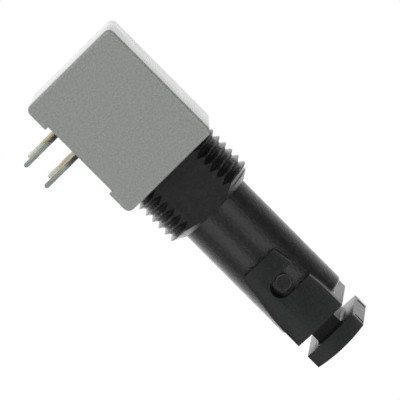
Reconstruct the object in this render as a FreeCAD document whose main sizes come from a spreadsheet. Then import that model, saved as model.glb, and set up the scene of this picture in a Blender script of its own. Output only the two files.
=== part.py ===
import FreeCAD, Part
import os
import Sketcher

# A board-mount optical link module: a grey moulded box on four thin pins, a black port with a threaded
# collar and a bayonet barrel on its front, and a bayonet dust cap with a T-shaped grip.
# Frame: +Z up from the circuit board, +X along the port towards the cap, millimetres.
# Origin: on the board, in the middle of the four pins.

doc = FreeCAD.newDocument("optical_link_module")
sheet = doc.addObject("Spreadsheet::Sheet", "Sizes")

SIZES = [
    # The grey box
    ("box_length", 12.7),
    ("box_width", 12.7),
    ("roof_over_port", 5.04),
    ("rear_to_pins", 4.83),
    ("side_wall", 1.0),
    ("roof_wall", 1.0),
    ("front_wall", 1.2),
    ("edge_round", 0.28),
    ("foot_height", 0.38),
    ("foot_length", 2.45),
    ("foot_width", 1.6),
    # The four pins
    ("pin_pitch", 2.54),
    ("row_inset", 2.54),
    ("pin_radius", 0.23),
    ("pin_shoulder", 0.17),
    ("pin_below_board", 3.75),
    ("pin_tip_round", 0.12),
    ("pin_above_lead_board", 0.35),
    # The port
    ("port_height", 5.16),
    ("flange_thickness", 1.1),
    ("flange_side_gap", 0.2),
    ("flange_roof_gap", 0.4),
    ("flange_drop", 3.7),
    ("throat_width", 7.6),
    ("thread_diameter", 9.525),
    ("thread_pitch", 0.79375),
    ("thread_depth", 0.43),
    ("thread_turns", 6),
    ("thread_start", 0.75),
    ("thread_overcut", 0.2),
    ("flats_across", 7.5),
    ("collar_length", 5.3),
    ("collar_chamfer", 0.5),
    ("collar_chamfer_drop", 1.05),
    ("barrel_diameter", 7.0),
    ("barrel_length", 12.43),
    ("barrel_end_chamfer", 0.3),
    ("lug_radius", 0.75),
    ("lug_inset", 3.08),
    ("lug_proud", 0.7),
    ("mouth_diameter", 4.8),
    ("mouth_depth", 5.0),
    ("key_width", 1.2),
    ("key_depth", 0.45),
    # The optics and the can behind them
    ("ferrule_diameter", 2.5),
    ("ferrule_clearance", 0.005),
    ("sleeve_diameter", 4.0),
    ("sleeve_length", 9.8),
    ("sleeve_lead_in", 0.3),
    ("lens_diameter", 3.4),
    ("lens_thickness", 1.0),
    ("lens_crown_radius", 2.6),
    ("can_diameter", 4.6),
    ("can_depth", 2.6),
    ("can_wall", 0.15),
    ("can_rim_width", 0.3),
    ("can_rim_thickness", 0.2),
    ("window_diameter", 3.4),
    ("window_thickness", 0.35),
    ("window_opening", 2.0),
    ("header_margin", 0.1),
    ("header_thickness", 0.9),
    ("seal_radius", 0.5),
    ("lead_radius", 0.22),
    ("lead_circle_radius", 1.27),
    ("lead_run", 1.6),
    ("lead_bend", 0.6),
    ("lead_straight", 0.23),
    ("submount_side", 0.9),
    ("submount_thickness", 0.3),
    ("chip_side", 0.4),
    ("chip_thickness", 0.15),
    ("bond_wire_radius", 0.02),
    ("ring_length", 1.9),
    # The lead board, its solder and the potting
    ("lead_board_thickness", 0.6),
    ("lead_board_front_gap", 0.64),
    ("lead_board_side_gap", 0.55),
    ("solder_spread", 0.2),
    ("solder_rim", 0.04),
    ("solder_height", 0.2),
    ("backfill_recess", 0.25),
    ("backfill_air_gap", 0.67),
    # The dust cap
    ("cap_rest_angle", 6.5),
    ("cap_seat_gap", 0.05),
    ("arm_wall", 0.64),
    ("cap_crown_radius", 8.6),
    ("cap_half_height", 2.75),
    ("cap_end_wall", 1.18),
    ("arm_half_height", 1.85),
    ("arm_taper_length", 5.5),
    ("hook_length", 1.9),
    ("notch_slack", 0.42),
    ("notch_drop", 0.99),
    ("neck_length", 1.2),
    ("neck_height", 2.66),
    ("neck_width", 5.2),
    ("grip_thickness", 1.55),
    ("grip_crown_radius", 21.0),
    ("pilot_length", 2.0),
    # Clearances
    ("rest_gap", 0.02),
    ("running_gap", 0.06),
]
for row, (alias, size) in enumerate(SIZES, start=1):
    sheet.set(f"A{row}", alias)
    sheet.set(f"B{row}", str(size))
    sheet.setAlias(f"B{row}", alias)
doc.recompute()


def expand(text):
    """Give every size named in an expression its place in the spreadsheet."""
    names = {alias for alias, size in SIZES}
    words = text.replace("(", " ( ").replace(")", " ) ").split()
    return " ".join(f"Sizes.{word}" if word in names else word for word in words)


# Places along the port and heights over the board, written from the sizes above
REAR = "- rear_to_pins"
FRONT = "( box_length - rear_to_pins )"
COLLAR_END = f"( {FRONT} + collar_length )"
BARREL_END = f"( {COLLAR_END} + barrel_length )"
BOX_MIDDLE = "( box_length / 2 - rear_to_pins )"
WALL_INSIDE = f"( {FRONT} - front_wall )"
FLANGE_BACK = f"( {WALL_INSIDE} - rest_gap - flange_thickness )"
SLEEVE_END = f"( {BARREL_END} - mouth_depth )"
LENS_FRONT = f"( {SLEEVE_END} - sleeve_length - rest_gap )"
HEADER_FRONT = f"( {FLANGE_BACK} - rest_gap - can_rim_thickness )"
HEADER_BACK = f"( {HEADER_FRONT} - header_thickness )"
LUG_PLACE = f"( {BARREL_END} - lug_inset - lug_radius )"
CAP_SEAT = f"( {BARREL_END} + cap_seat_gap )"
HOOK_END = f"( {LUG_PLACE} - lug_radius - rest_gap )"
NOTCH_WIDTH = "( 2 * lug_radius + notch_slack )"
HEAD_END = f"( {CAP_SEAT} + cap_end_wall )"
NECK_END = f"( {HEAD_END} + neck_length )"
LEAD_DOWN = f"( {HEADER_BACK} - lead_run - lead_bend )"
ROOF = "( port_height + roof_over_port )"
ROW_SPACING = "( box_width - 2 * row_inset )"
PIN_ROOT = "( pin_radius + pin_shoulder )"
CAN_RIM = "( can_diameter / 2 + can_rim_width )"
HEADER_RADIUS = f"( {CAN_RIM} + header_margin )"
CAP_HALF_WIDTH = "( barrel_diameter / 2 + running_gap + arm_wall )"
BOARD_TOP = "( port_height - lead_circle_radius - lead_bend - lead_straight )"
BOARD_LOW = f"( {BOARD_TOP} - lead_board_thickness )"
BACKFILL_LOW = "( foot_height + backfill_recess )"
BACKFILL_THICKNESS = f"( {BOARD_LOW} - backfill_air_gap - {BACKFILL_LOW} )"
ALONG_X = FreeCAD.Rotation(FreeCAD.Vector(0, 1, 0), 90)
ALONG_Y = FreeCAD.Rotation(FreeCAD.Vector(1, 0, 0), -90)
UPRIGHT = FreeCAD.Rotation()


def turned(x_axis, y_axis, z_axis):
    """The turn that takes a piece's own axes to the three given ones."""
    return FreeCAD.Rotation(x_axis, y_axis, z_axis, "XYZ")


def bind(item, **sizes):
    """Tie an object's own properties to expressions."""
    for name, text in sizes.items():
        item.setExpression(name, expand(text))
    return item


def place(item, x="0", y="0", z="0", turn=UPRIGHT):
    item.Placement = FreeCAD.Placement(FreeCAD.Vector(), turn)
    item.setExpression("Placement.Base.x", expand(x))
    item.setExpression("Placement.Base.y", expand(y))
    item.setExpression("Placement.Base.z", expand(z))
    return item


def rod(name, radius, length, x="0", y="0", z="0", turn=ALONG_X):
    item = doc.addObject("Part::Cylinder", name)
    bind(item, Radius=radius, Height=length)
    return place(item, x, y, z, turn)


def cone(name, radius, far_radius, length, x="0", y="0", z="0", turn=ALONG_X):
    item = doc.addObject("Part::Cone", name)
    bind(item, Radius1=radius, Radius2=far_radius, Height=length)
    return place(item, x, y, z, turn)


def block(name, length, width, height, x, y="", z=""):
    """A box that starts at x, and is centred on y = 0 and z = 0 unless told otherwise."""
    item = doc.addObject("Part::Box", name)
    bind(item, Length=length, Width=width, Height=height)
    return place(item, x, y or f"- ( {width} ) / 2", z or f"- ( {height} ) / 2")


def join(name, *items):
    whole = doc.addObject("Part::MultiFuse", name)
    whole.Shapes = list(items)
    return whole


def overlap(name, *items):
    whole = doc.addObject("Part::MultiCommon", name)
    whole.Shapes = list(items)
    return whole


def cut(name, base, *tools):
    whole = doc.addObject("Part::Cut", name)
    whole.Base = base
    whole.Tool = tools[0] if len(tools) == 1 else join(f"{name}_tools", *tools)
    return whole


def group(name, *items):
    """Several solids that stay apart, kept as one piece."""
    whole = doc.addObject("Part::Compound", name)
    whole.Links = list(items)
    return whole


def edges_of(shape, wanted):
    """The names of the edges that a test picks."""
    return [f"Edge{n}" for n, edge in enumerate(shape.Edges, start=1) if wanted(edge)]


def rectangle(body, name, plane, width, height, x="0", y="0", z="0"):
    """A sketch of one rectangle, centred on its own origin, which is x, y, z from the body's plane."""
    sketch = body.newObject("Sketcher::SketchObject", name)
    sketch.AttachmentSupport = [(next(o for o in body.Origin.OriginFeatures if o.Role == plane), "")]
    sketch.MapMode = "FlatFace"
    for axis, text in zip("xyz", (x, y, z)):
        sketch.setExpression(f"AttachmentOffset.Base.{axis}", expand(text))
    corners = [FreeCAD.Vector(a, b, 0) for a, b in ((-1, -1), (1, -1), (1, 1), (-1, 1))]
    for n in range(4):
        sketch.addGeometry(Part.LineSegment(corners[n], corners[(n + 1) % 4]))
    for n in range(4):
        sketch.addConstraint(Sketcher.Constraint("Coincident", n, 2, (n + 1) % 4, 1))
        sketch.addConstraint(Sketcher.Constraint("Vertical" if n % 2 else "Horizontal", n))
    sketch.addConstraint(Sketcher.Constraint("Symmetric", 0, 1, 2, 1, -1, 1))
    across = sketch.addConstraint(Sketcher.Constraint("DistanceX", 0, 1, 0, 2, 2.0))
    along = sketch.addConstraint(Sketcher.Constraint("DistanceY", 1, 1, 1, 2, 2.0))
    sketch.setExpression(f"Constraints[{across}]", expand(width))
    sketch.setExpression(f"Constraints[{along}]", expand(height))
    return sketch


def pad(body, name, sketch, length, kind="PartDesign::Pad", backwards=False, both_ways=False):
    feature = body.newObject(kind, name)
    feature.Profile = sketch
    feature.Reversed = backwards
    feature.Midplane = both_ways
    bind(feature, Length=length)
    body.Tip = feature
    return feature


def pocket(body, name, sketch, length, backwards=False):
    return pad(body, name, sketch, length, "PartDesign::Pocket", backwards)


def rounded(body, name, base, wanted, radius):
    doc.recompute()
    feature = body.newObject("PartDesign::Fillet", name)
    feature.Base = (base, edges_of(base.Shape, wanted))
    bind(feature, Radius=radius)
    body.Tip = feature
    return feature


def housing_shell():
    """The grey box: five walls, open underneath, with a foot at each corner and a slot for the port."""
    body = doc.addObject("PartDesign::Body", "housing_shell")
    outline = rectangle(
        body, "box_outline", "XY_Plane", "box_length", "box_width", BOX_MIDDLE, "0", "foot_height"
    )
    box = pad(body, "box", outline, f"{ROOF} - foot_height")
    box = rounded(body, "box_edges", box, lambda e: e.BoundBox.ZMax > sheet.port_height, "edge_round")
    hollow = rectangle(
        body, "hollow_outline", "XY_Plane",
        "box_length - side_wall - front_wall", "box_width - 2 * side_wall",
        "( box_length + side_wall - front_wall ) / 2 - rear_to_pins", "0", "foot_height",
    )
    pocket(body, "hollow", hollow, f"{ROOF} - foot_height - roof_wall", backwards=True)
    slot = rectangle(
        body, "slot_outline", "YZ_Plane", "throat_width + 2 * rest_gap", "port_height - foot_height",
        "0", "( port_height + foot_height ) / 2", FRONT,
    )
    pocket(body, "port_slot", slot, "front_wall")
    arch = body.newObject("PartDesign::SubtractiveCylinder", "port_arch")
    bind(arch, Radius="throat_width / 2 + rest_gap", Height="front_wall")
    arch.AttachmentSupport = [(next(o for o in body.Origin.OriginFeatures if o.Role == "YZ_Plane"), "")]
    arch.MapMode = "FlatFace"
    arch.setExpression("AttachmentOffset.Base.y", expand("port_height"))
    arch.setExpression("AttachmentOffset.Base.z", expand(WALL_INSIDE))
    body.Tip = arch
    for end, x in (("rear", f"{REAR} + foot_length / 2"), ("front", f"{FRONT} - foot_length / 2")):
        for side, sign in (("left", 1), ("right", -1)):
            y = f"{sign} * ( box_width - foot_width ) / 2"
            foot = rectangle(
                body, f"{end}_{side}_foot_outline", "XY_Plane", "foot_length", "foot_width", x, y
            )
            pad(body, f"{end}_{side}_foot", foot, "foot_height")
    return body


def port_barrel():
    """The black port: flange, throat, threaded collar with two flats, barrel and two bayonet lugs."""
    collar = rod("collar", "thread_diameter / 2", "collar_length - collar_chamfer", FRONT)
    nose = cone(
        "collar_nose", "thread_diameter / 2", "thread_diameter / 2 - collar_chamfer_drop", "collar_chamfer",
        f"{COLLAR_END} - collar_chamfer",
    )
    flats = block("flats", "collar_length", "flats_across", "thread_diameter", FRONT)
    threaded = overlap("collar_with_flats", join("collar_blank", collar, nose), flats)
    grooves = []
    root = "thread_diameter / 2 - thread_depth"
    rim = "thread_diameter / 2 + thread_depth * thread_overcut"
    out = "( 1 + thread_overcut ) * thread_pitch / 2"
    for turn in range(round(sheet.thread_turns)):
        middle = f"{FRONT} + ( {turn} + thread_start ) * thread_pitch"
        washer = rod(f"groove_blank_{turn}", "thread_diameter", f"2 * {out}", f"{middle} - {out}")
        rise = cone(f"groove_rise_{turn}", rim, root, out, f"{middle} - {out}")
        fall = cone(f"groove_fall_{turn}", root, rim, out, middle)
        grooves.append(cut(f"groove_{turn}", washer, rise, fall))
    threaded = cut("threaded_collar", threaded, *grooves)
    barrel = rod(
        "barrel", "barrel_diameter / 2", "collar_length + barrel_length - barrel_end_chamfer", FRONT
    )
    barrel_nose = cone(
        "barrel_nose", "barrel_diameter / 2", "barrel_diameter / 2 - barrel_end_chamfer",
        "barrel_end_chamfer", f"{BARREL_END} - barrel_end_chamfer",
    )
    lugs = rod(
        "lugs", "lug_radius", "barrel_diameter + 2 * lug_proud", LUG_PLACE,
        "- barrel_diameter / 2 - lug_proud", "0", ALONG_Y,
    )
    throat_back = f"{WALL_INSIDE} - rest_gap"
    throat = rod("throat", "throat_width / 2", f"{FRONT} - ( {throat_back} )", throat_back)
    sill = block(
        "throat_sill", f"{FRONT} - ( {throat_back} )", "throat_width", "port_height - foot_height",
        throat_back, "", "foot_height - port_height",
    )
    flange = block(
        "flange", "flange_thickness", "box_width - 2 * side_wall - 2 * flange_side_gap",
        "flange_drop + roof_over_port - roof_wall - flange_roof_gap", FLANGE_BACK, "", "- flange_drop",
    )
    outside = join("port_outside", threaded, barrel, barrel_nose, lugs, throat, sill, flange)
    can_room = rod(
        "can_room", HEADER_RADIUS, f"{LENS_FRONT} - lens_thickness - {FLANGE_BACK}", FLANGE_BACK
    )
    lens_seat = rod(
        "lens_seat", "lens_diameter / 2 + rest_gap", f"{LENS_FRONT} - {FLANGE_BACK}", FLANGE_BACK
    )
    sleeve_seat = rod("sleeve_seat", "sleeve_diameter / 2", f"{SLEEVE_END} - {LENS_FRONT}", LENS_FRONT)
    mouth = rod("mouth", "mouth_diameter / 2", "mouth_depth", SLEEVE_END)
    key = block(
        "keyway", "mouth_depth", "key_width", "mouth_diameter / 2 + key_depth", SLEEVE_END, "", "0"
    )
    piece = cut("port_barrel", outside, can_room, lens_seat, sleeve_seat, mouth, key)
    return place(piece, z="port_height")


def ferrule_sleeve():
    """The sleeve that guides the ferrule of the fibre plug."""
    start = f"{SLEEVE_END} - sleeve_length"
    inside = "ferrule_diameter / 2 + ferrule_clearance"
    tube = rod("sleeve_tube", "sleeve_diameter / 2", "sleeve_length", start)
    bore = rod("sleeve_bore", inside, "sleeve_length", start)
    lead_in = cone(
        "sleeve_lead", inside, f"{inside} + sleeve_lead_in", "sleeve_lead_in",
        f"{SLEEVE_END} - sleeve_lead_in",
    )
    return place(cut("ferrule_sleeve", tube, bore, lead_in), z="port_height")


def coupling_lens():
    """A plano-convex lens, flat side to the sleeve."""
    disc = rod("lens_disc", "lens_diameter / 2", "lens_thickness", f"{LENS_FRONT} - lens_thickness")
    ball = doc.addObject("Part::Sphere", "lens_crown")
    bind(ball, Radius="lens_crown_radius")
    place(ball, f"{LENS_FRONT} - lens_thickness + lens_crown_radius")
    return place(overlap("coupling_lens", disc, ball), z="port_height")


def can_cap():
    """A drawn cup with a weld rim at its back and a round opening in its front."""
    shell = rod("can_shell", "can_diameter / 2", "can_depth", HEADER_FRONT)
    rim = rod("can_rim", CAN_RIM, "can_rim_thickness", HEADER_FRONT)
    room = rod("can_hollow", "can_diameter / 2 - can_wall", "can_depth - can_wall", HEADER_FRONT)
    opening = rod("can_opening", "window_opening / 2", "can_depth", HEADER_FRONT)
    return place(cut("can_cap", join("can_outside", shell, rim), room, opening), z="port_height")


def can_window():
    """The glass disc behind the can's opening."""
    start = f"{HEADER_FRONT} + can_depth - can_wall - window_thickness"
    return rod("can_window", "window_diameter / 2", "window_thickness", start, "0", "port_height")


LEAD_PLACES = (
    ("left", "lead_circle_radius", "0"),
    ("right", "- lead_circle_radius", "0"),
    ("ground", "0", "- lead_circle_radius"),
)
POST = "( submount_thickness + chip_thickness )"


def can_header():
    """The metal disc that the can is welded to, with two holes for its insulated leads."""
    disc = rod("header_disc", HEADER_RADIUS, "header_thickness", HEADER_BACK)
    holes = [rod(f"header_hole_{side}", "seal_radius", "header_thickness", HEADER_BACK, y, z)
             for side, y, z in LEAD_PLACES[:2]]
    return place(cut("can_header", disc, *holes), z="port_height")


def glass_seals():
    """A glass bead round each insulated lead."""
    beads = []
    for side, y, z in LEAD_PLACES[:2]:
        bead = rod(f"bead_{side}", "seal_radius", "header_thickness", HEADER_BACK, y, z)
        hole = rod(f"bead_hole_{side}", "lead_radius", "header_thickness", HEADER_BACK, y, z)
        beads.append(cut(f"glass_bead_{side}", bead, hole))
    return place(group("glass_seals", *beads), z="port_height")


def header_leads():
    """The can's three leads: back from the header, round a bend and down into the lead board."""
    leads = []
    for side, y, z in LEAD_PLACES:
        grounded = side == "ground"
        inner_end = HEADER_BACK if grounded else f"{HEADER_FRONT} + {POST}"
        bend_start = f"( {LEAD_DOWN} + lead_bend )"
        run = rod(f"lead_run_{side}", "lead_radius", f"{inner_end} - {bend_start}", bend_start, y, z)
        bend = doc.addObject("Part::Torus", f"lead_bend_{side}")
        bind(bend, Radius1="lead_bend", Radius2="lead_radius")
        bend.Angle3 = 90
        turn = turned(FreeCAD.Vector(-1, 0, 0), FreeCAD.Vector(0, 0, 1), FreeCAD.Vector(0, 1, 0))
        place(bend, bend_start, y, f"{z} - lead_bend", turn)
        drop = f"port_height + ( {z} ) - lead_bend - {BOARD_LOW}"
        down = rod(
            f"lead_down_{side}", "lead_radius", drop, LEAD_DOWN, y, f"{BOARD_LOW} - port_height", UPRIGHT
        )
        leads.append(join(f"lead_{side}", run, bend, down))
    return place(group("header_leads", *leads), z="port_height")


def chip_submount():
    """The ceramic tile under the light-emitting chip."""
    return block(
        "chip_submount", "submount_thickness", "submount_side", "submount_side", HEADER_FRONT,
        "", "port_height - submount_side / 2",
    )


def emitter_chip():
    """The light-emitting chip, on the port's axis."""
    return block(
        "emitter_chip", "chip_thickness", "chip_side", "chip_side", f"{HEADER_FRONT} + submount_thickness",
        "", "port_height - chip_side / 2",
    )


def bond_wire():
    """The gold wire that arches from a lead's post to the chip."""
    arch = doc.addObject("Part::Torus", "bond_wire")
    bind(arch, Radius1="lead_circle_radius / 2", Radius2="bond_wire_radius")
    arch.Angle3 = 180
    turn = turned(FreeCAD.Vector(0, -1, 0), FreeCAD.Vector(1, 0, 0), FreeCAD.Vector(0, 0, 1))
    return place(arch, f"{HEADER_FRONT} + {POST}", "lead_circle_radius / 2", "port_height", turn)


def alignment_ring():
    """The ring that centres the can in the port."""
    start = f"{FLANGE_BACK} + rest_gap"
    outside = rod("ring_outside", HEADER_RADIUS, "ring_length", start)
    inside = rod("ring_inside", "can_diameter / 2 + rest_gap", "ring_length", start)
    return place(cut("alignment_ring", outside, inside), z="port_height")


PIN_PLACES = [
    (f"{a} * pin_pitch / 2", f"{b} * {ROW_SPACING} / 2") for a, b in ((-1, -1), (1, -1), (1, 1), (-1, 1))
]


def board_pin(number, x, y):
    """One straight pin, thicker where the potting and the lead board hold it, with a rounded tip."""
    root = rod(
        f"pin_root_{number}", PIN_ROOT, f"{BOARD_TOP} + pin_above_lead_board - {BACKFILL_LOW}",
        x, y, BACKFILL_LOW, UPRIGHT,
    )
    wire = rod(
        f"pin_wire_{number}", "pin_radius", f"{BACKFILL_LOW} + pin_below_board - pin_tip_round",
        x, y, "pin_tip_round - pin_below_board", UPRIGHT,
    )
    tip = cone(
        f"pin_tip_{number}", "pin_radius - pin_tip_round", "pin_radius", "pin_tip_round",
        x, y, "- pin_below_board", UPRIGHT,
    )
    return join(f"board_pin_{number}", root, wire, tip)


def wire_holes(name, start, depth):
    """Holes for the four pins and the three leads through a flat piece."""
    holes = [rod(f"{name}_pin_{n}", PIN_ROOT, depth, x, y, start, UPRIGHT)
             for n, (x, y) in enumerate(PIN_PLACES, start=1)]
    holes += [rod(f"{name}_lead_{side}", "lead_radius", depth, LEAD_DOWN, y, start, UPRIGHT)
              for side, y, z in LEAD_PLACES]
    return holes


def lead_board():
    """The small board that joins the can's leads to the pins."""
    start = f"{REAR} + side_wall + rest_gap"
    plate = block(
        "board_plate", f"{HEADER_BACK} - lead_board_front_gap - ( {start} )",
        "box_width - 2 * side_wall - 2 * lead_board_side_gap", "lead_board_thickness", start, "", BOARD_LOW,
    )
    return cut("lead_board", plate, *wire_holes("board_hole", BOARD_LOW, "lead_board_thickness"))


def solder_fillets():
    """A small cone of solder round each pin and lead."""
    places = [(f"pin_{n}", x, y, PIN_ROOT) for n, (x, y) in enumerate(PIN_PLACES, start=1)]
    places += [(f"lead_{side}", LEAD_DOWN, y, "lead_radius") for side, y, z in LEAD_PLACES]
    beads = []
    for name, x, y, radius in places:
        bead = cone(
            f"solder_cone_{name}", f"{radius} + solder_spread", f"{radius} + solder_rim", "solder_height",
            x, y, BOARD_TOP, UPRIGHT,
        )
        wire = rod(f"solder_hole_{name}", radius, "solder_height", x, y, BOARD_TOP, UPRIGHT)
        beads.append(cut(f"solder_{name}", bead, wire))
    return group("solder_fillets", *beads)


def epoxy_backfill():
    """The potting that closes the underside of the box round the pins."""
    body = doc.addObject("PartDesign::Body", "epoxy_backfill")
    outline = rectangle(
        body, "backfill_outline", "XY_Plane",
        f"{FLANGE_BACK} - ( {REAR} ) - side_wall - 2 * rest_gap", "box_width - 2 * side_wall - 2 * rest_gap",
        f"( {FLANGE_BACK} + ( {REAR} ) + side_wall ) / 2", "0", BACKFILL_LOW,
    )
    pad(body, "backfill_plate", outline, BACKFILL_THICKNESS)
    for n, (x, y) in enumerate(PIN_PLACES, start=1):
        hole = body.newObject("PartDesign::SubtractiveCylinder", f"backfill_hole_{n}")
        bind(hole, Radius=PIN_ROOT, Height=BACKFILL_THICKNESS)
        hole.AttachmentSupport = [(next(o for o in body.Origin.OriginFeatures if o.Role == "XY_Plane"), "")]
        hole.MapMode = "FlatFace"
        hole.setExpression("AttachmentOffset.Base.x", expand(x))
        hole.setExpression("AttachmentOffset.Base.y", expand(y))
        hole.setExpression("AttachmentOffset.Base.z", expand(BACKFILL_LOW))
        body.Tip = hole
    return body


def dust_cap():
    """The cap: two notched arms that hook the lugs, a wall over the barrel's end, a neck and a T-grip."""
    tip = f"( {HOOK_END} - hook_length )"
    total = f"{NECK_END} + grip_thickness - {tip}"
    arm_end = f"( {tip} + arm_taper_length )"
    taper = doc.addObject("Part::Wedge", "arm_taper")
    width = f"2 * {CAP_HALF_WIDTH}"
    height = "2 * cap_half_height"
    bind(
        taper, Xmin=f"- {CAP_HALF_WIDTH}", Xmax=CAP_HALF_WIDTH, X2min=f"- {CAP_HALF_WIDTH}",
        X2max=CAP_HALF_WIDTH, Ymin="0", Ymax="arm_taper_length", Zmin="- arm_half_height",
        Zmax="arm_half_height", Z2min="- cap_half_height", Z2max="cap_half_height",
    )
    place(taper, tip, turn=FreeCAD.Rotation(FreeCAD.Vector(0, 0, 1), -90))
    head = block("cap_head", f"{HEAD_END} - {arm_end}", width, height, arm_end)
    grip = block("cap_grip", "grip_thickness", width, height, NECK_END)
    crowns = []
    for side, sign in (("left", -1), ("right", 1)):
        y = f"{sign} * ( cap_crown_radius - {CAP_HALF_WIDTH} )"
        crowns.append(rod(f"cap_crown_{side}", "cap_crown_radius", total, tip, y))
    end_crown = rod(
        "grip_crown", "grip_crown_radius", f"2 * {width}",
        f"{NECK_END} + grip_thickness - grip_crown_radius", f"- {width}", "0", ALONG_Y,
    )
    rounded_grip = overlap("rounded_grip", grip, end_crown)
    outline = overlap("cap_outline", join("cap_profile", taper, head, rounded_grip), *crowns)
    room = rod("barrel_room", "barrel_diameter / 2 + running_gap", f"{CAP_SEAT} - {tip}", tip)
    notches = []
    for side, start, open_end in (("right", f"- {width}", 1), ("left", "0", -1)):
        bottom = f"{open_end} * ( {NOTCH_WIDTH} / 2 - notch_drop )"
        floor = rod(
            f"notch_floor_{side}", f"{NOTCH_WIDTH} / 2", width, f"{HOOK_END} + {NOTCH_WIDTH} / 2", start,
            bottom, ALONG_Y,
        )
        z = bottom if open_end > 0 else f"{bottom} - {height}"
        way_out = block(f"notch_way_{side}", NOTCH_WIDTH, width, height, HOOK_END, start, z)
        notches += [floor, way_out]
    shell = cut("cap_shell", outline, room, *notches)
    pilot = rod(
        "cap_pilot", "mouth_diameter / 2 - running_gap", "pilot_length + rest_gap",
        f"{CAP_SEAT} - pilot_length",
    )
    neck = block(
        "cap_neck", f"{NECK_END} - {HEAD_END} + 2 * rest_gap", "neck_width", "neck_height",
        f"{HEAD_END} - rest_gap",
    )
    piece = join("dust_cap", shell, pilot, neck)
    place(piece, z="port_height", turn=FreeCAD.Rotation(FreeCAD.Vector(1, 0, 0), sheet.cap_rest_angle))
    return piece


pieces = [
    housing_shell(), port_barrel(), ferrule_sleeve(), coupling_lens(), can_cap(), can_window(),
    can_header(), glass_seals(), header_leads(), chip_submount(), emitter_chip(), bond_wire(),
    alignment_ring(), lead_board(), solder_fillets(), epoxy_backfill(), dust_cap(),
]
pieces += [board_pin(number, x, y) for number, (x, y) in enumerate(PIN_PLACES, start=1)]
doc.recompute()

for item in doc.Objects:
    if "Invalid" in item.State or "Error" in item.State:
        raise RuntimeError(f"{item.Label} did not build: {item.State}")
for piece in pieces:
    if piece.Shape.isNull() or not piece.Shape.isValid() or not piece.Shape.Solids:
        raise RuntimeError(f"{piece.Label} has no valid solid")

os.makedirs("parts", exist_ok=True)
for piece in pieces:
    piece.Shape.exportStep(f"parts/{piece.Label}.step")
    print(f"{piece.Label}: {len(piece.Shape.Solids)} solid(s), {piece.Shape.Volume:.3f} mm3")
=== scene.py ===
# %% [markdown]
# # A fibre-optic link module, piece by piece
# The object is a small grey box that stands on a circuit board. A black port with a threaded collar
# leaves its front, and a black dust cap hooks the port's end. The sizes and places of the CAD model
# come first, because every piece made here stands where the CAD says.

# %% Load the frame
from math import asin, cos, degrees, exp, floor, pi, radians, sin, sqrt

import bmesh
import bpy
from mathutils import Matrix, Vector


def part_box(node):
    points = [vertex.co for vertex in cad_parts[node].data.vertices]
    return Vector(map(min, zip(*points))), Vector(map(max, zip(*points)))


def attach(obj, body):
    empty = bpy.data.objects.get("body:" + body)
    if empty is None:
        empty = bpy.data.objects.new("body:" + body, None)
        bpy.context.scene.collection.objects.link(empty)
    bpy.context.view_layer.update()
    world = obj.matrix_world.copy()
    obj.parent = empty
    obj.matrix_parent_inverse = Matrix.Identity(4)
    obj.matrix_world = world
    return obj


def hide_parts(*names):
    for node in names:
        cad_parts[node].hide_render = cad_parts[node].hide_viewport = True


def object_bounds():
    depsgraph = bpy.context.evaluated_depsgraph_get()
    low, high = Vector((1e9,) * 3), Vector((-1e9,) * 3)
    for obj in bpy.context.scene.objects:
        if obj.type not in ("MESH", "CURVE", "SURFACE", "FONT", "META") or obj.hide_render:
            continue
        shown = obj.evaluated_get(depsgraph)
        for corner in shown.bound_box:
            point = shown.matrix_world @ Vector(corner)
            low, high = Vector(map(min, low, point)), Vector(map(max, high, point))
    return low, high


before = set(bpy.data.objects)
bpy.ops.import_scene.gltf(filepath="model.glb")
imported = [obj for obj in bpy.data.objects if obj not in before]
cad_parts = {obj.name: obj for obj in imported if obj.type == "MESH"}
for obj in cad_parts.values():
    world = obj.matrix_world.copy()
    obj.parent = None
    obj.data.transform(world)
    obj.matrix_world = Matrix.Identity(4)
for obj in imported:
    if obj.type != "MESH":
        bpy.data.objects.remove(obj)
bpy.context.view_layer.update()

# %% [markdown]
# Blender works in metres, but a thread with a pitch of 0.8 mm is easier to write in millimetres. So each
# mesh is drawn in millimetres and shrunk once, when it's finished. The landmarks along the port are read
# from the boxes of the CAD nodes, so that the pieces made here line up with the CAD.

# %% Landmarks in millimetres
MM = 0.001


def box_mm(node):
    """A CAD node's lowest and highest corners, in millimetres."""
    low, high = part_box(node)
    return Vector(low) / MM, Vector(high) / MM


shell_low, shell_high = box_mm("housing_shell")
port_low, port_high = box_mm("port_barrel")
cap_low, cap_high = box_mm("dust_cap")
sleeve_low, sleeve_high = box_mm("ferrule_sleeve")
AXIS_HEIGHT = (sleeve_low.z + sleeve_high.z) / 2
FRONT = shell_high.x
COLLAR_LENGTH = 5.3
COLLAR_END = FRONT + COLLAR_LENGTH
BARREL_END = port_high.x
MOUTH_START = sleeve_high.x
print(f"port axis {AXIS_HEIGHT:.2f} mm over the board, barrel end at x = {BARREL_END:.2f} mm")

# %% [markdown]
# Four small helpers do most of the mesh work. One turns points and faces into an object, one runs a
# modifier and keeps its result, one joins or cuts two solids with Blender's exact boolean, and the last
# brings a finished piece to its true size and gives it its finish and its body.

# %% Mesh helpers
SAME_POINT = 1e-5


def new_piece(name, points, faces):
    """An object from points in millimetres. Its faces are turned to look outwards."""
    mesh = bpy.data.meshes.new(name)
    mesh.from_pydata([tuple(p) for p in points], [], faces)
    solid = bmesh.new()
    solid.from_mesh(mesh)
    bmesh.ops.remove_doubles(solid, verts=solid.verts, dist=SAME_POINT)
    bmesh.ops.recalc_face_normals(solid, faces=solid.faces)
    solid.to_mesh(mesh)
    solid.free()
    piece = bpy.data.objects.new(name, mesh)
    bpy.context.scene.collection.objects.link(piece)
    return piece


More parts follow.
